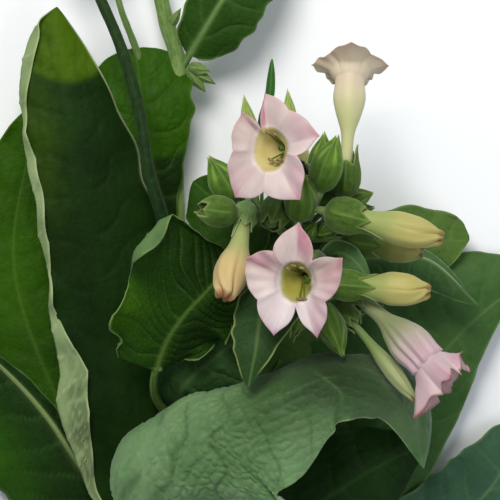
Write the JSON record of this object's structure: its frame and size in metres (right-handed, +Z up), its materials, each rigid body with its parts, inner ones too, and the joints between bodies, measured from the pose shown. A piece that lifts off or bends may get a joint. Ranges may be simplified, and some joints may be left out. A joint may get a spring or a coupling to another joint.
{
  "type": "cut tobacco flowering shoot",
  "caption": "Cut flowering top of a tobacco plant: a leafy stem with tubular pale pink flowers, green calyxes and shut buds, laid flat with its flower cluster facing up.",
  "frame": {"origin": "under the middle of the shoot, on the surface that it lies on", "axes": "+Y towards the shoot's tip, +Z up through the flower cluster, +X to the right of the stem seen from above"},
  "size_m": [0.2374, 0.2949, 0.1081],
  "materials": {
    "stem": "downy light green stem",
    "dark_stem": "shaded dark green stem",
    "deep_leaf": "matte dark green leaf",
    "bright_leaf": "matte bright green leaf",
    "cool_leaf": "soft grey-green leaf",
    "mid_leaf": "matte green leaf",
    "calyx": "downy green calyx",
    "petal": "soft pale pink petal",
    "pale_tube": "soft yellow-green corolla",
    "faded_tube": "withering cream corolla"
  },
  "bodies": {
    "root": {"main_stem": "stem", "left_branch": "dark_stem", "slim_branch": "stem", "flower_branch": "stem", "left_twig": "stem", "right_twig": "stem", "upper_flower_calyx": "calyx", "upper_flower": "petal", "lower_flower_calyx": "calyx", "lower_flower": "petal", "tall_flower_calyx": "calyx", "tall_flower": "petal", "faded_flower_calyx": "calyx", "faded_flower": "petal", "right_bud_calyx": "calyx", "right_bud": "pale_tube", "under_right_bud_calyx": "calyx", "under_right_bud": "pale_tube", "lower_right_bud_calyx": "calyx", "lower_right_bud": "pale_tube", "hanging_bud_calyx": "calyx", "hanging_bud": "faded_tube", "slim_bud_calyx": "calyx", "slim_bud": "pale_tube", "under_mid_bud_calyx": "calyx", "under_mid_bud": "pale_tube", "front_left_pod": "calyx", "middle_pod": "calyx", "low_left_pod": "calyx", "under_low_pod": "calyx", "left_bud": "calyx", "tall_bud": "calyx", "centre_bud": "calyx", "upper_right_bud": "calyx", "right_back_bud": "calyx", "star_bud": "calyx", "right_small_bud": "calyx", "right_low_bud": "calyx", "young_bud": "calyx", "side_young_bud": "calyx", "low_bud": "calyx", "under_left_bud": "calyx", "under_far_bud": "calyx", "big_left_leaf": "deep_leaf", "far_left_leaf": "bright_leaf", "low_left_leaf": "mid_leaf", "round_leaf": "bright_leaf", "front_leaf": "cool_leaf", "dark_leaf": "deep_leaf", "right_mid_leaf": "cool_leaf", "right_top_leaf": "mid_leaf", "right_big_leaf": "mid_leaf", "right_low_leaf": "cool_leaf", "hanging_leaf": "cool_leaf", "cupped_leaf": "bright_leaf", "shaded_leaf": "deep_leaf", "back_leaf": "bright_leaf", "slim_bract": "mid_leaf", "right_bract": "cool_leaf", "top_leaf": "mid_leaf"}
  },
  "joints": []
}
